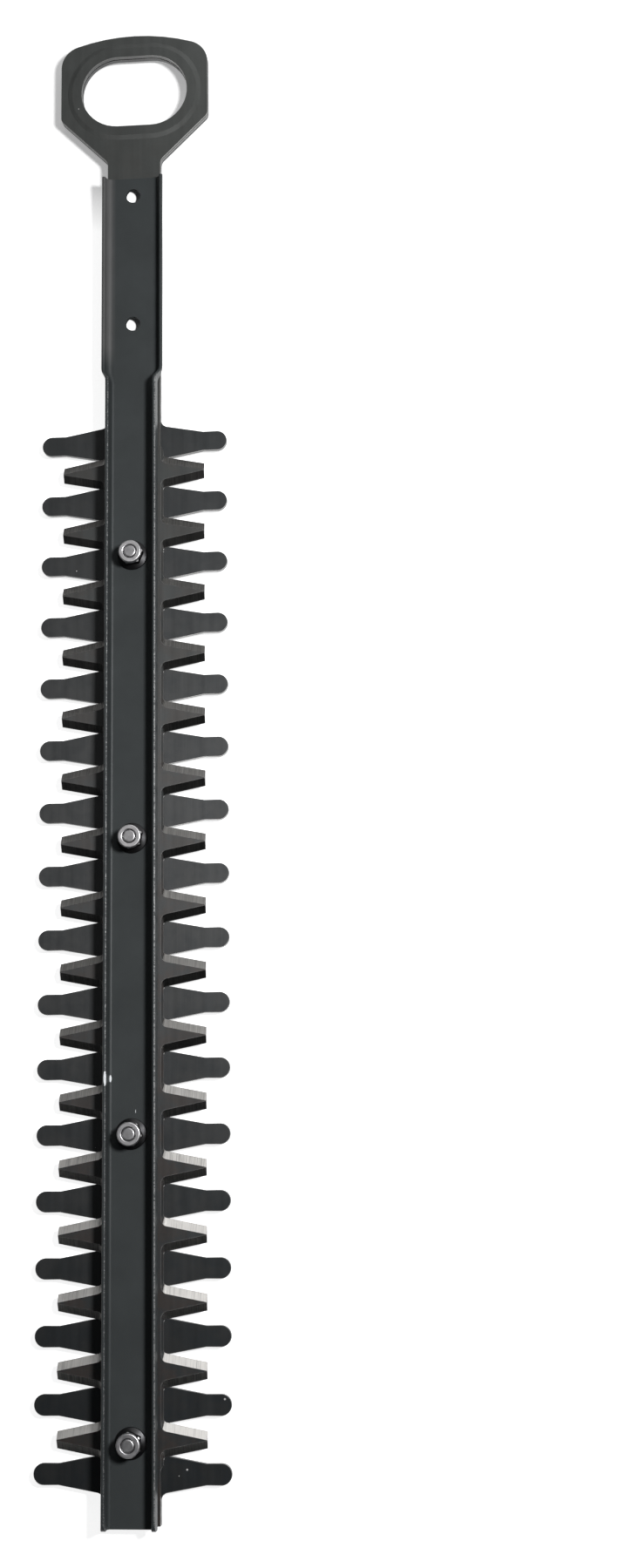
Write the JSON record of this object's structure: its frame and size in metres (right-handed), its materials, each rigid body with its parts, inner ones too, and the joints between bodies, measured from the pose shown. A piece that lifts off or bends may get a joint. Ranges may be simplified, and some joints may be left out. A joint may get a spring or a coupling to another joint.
{
  "type": "grass trimmer blade",
  "caption": "Cutter bar for a hand-held grass trimmer: two toothed blades with drive rings sliding under a bolted channel rail.",
  "frame": {"origin": "midway between the two fixing holes, on the face of the rail's web", "axes": "+Y along the bar to the drive rings, +Z off the web on the side of the nuts, +X to the right"},
  "size_m": [0.09, 0.7139, 0.0183],
  "materials": {
    "rail_paint": "satin dark grey",
    "blade_steel": "dark grey oxide, ground bright on the bevels",
    "hardened_steel": "ground",
    "fastener_zinc": "zinc plated",
    "insert_nylon": "plain"
  },
  "bodies": {
    "bar": {"stiffening_rail": "rail_paint", "guide_bolt_1": "fastener_zinc", "guide_sleeve_1": "hardened_steel", "plate_washer_1": "hardened_steel", "lock_nut_1": "fastener_zinc", "nut_insert_1": "insert_nylon", "guide_bolt_2": "fastener_zinc", "guide_sleeve_2": "hardened_steel", "plate_washer_2": "hardened_steel", "lock_nut_2": "fastener_zinc", "nut_insert_2": "insert_nylon", "guide_bolt_3": "fastener_zinc", "guide_sleeve_3": "hardened_steel", "plate_washer_3": "hardened_steel", "lock_nut_3": "fastener_zinc", "nut_insert_3": "insert_nylon", "guide_bolt_4": "fastener_zinc", "guide_sleeve_4": "hardened_steel", "plate_washer_4": "hardened_steel", "lock_nut_4": "fastener_zinc", "nut_insert_4": "insert_nylon"},
    "upper": {"upper_blade": "blade_steel"},
    "lower": {"lower_blade": "blade_steel"}
  },
  "joints": [
    {"name": "upper_blade_slide", "type": "slide", "parent": "bar", "child": "upper", "axis": [0, 1, 0], "range_m": [-0.005, 0.005]},
    {"name": "lower_blade_slide", "type": "slide", "parent": "bar", "child": "lower", "axis": [0, 1, 0], "range_m": [-0.005, 0.005]}
  ]
}
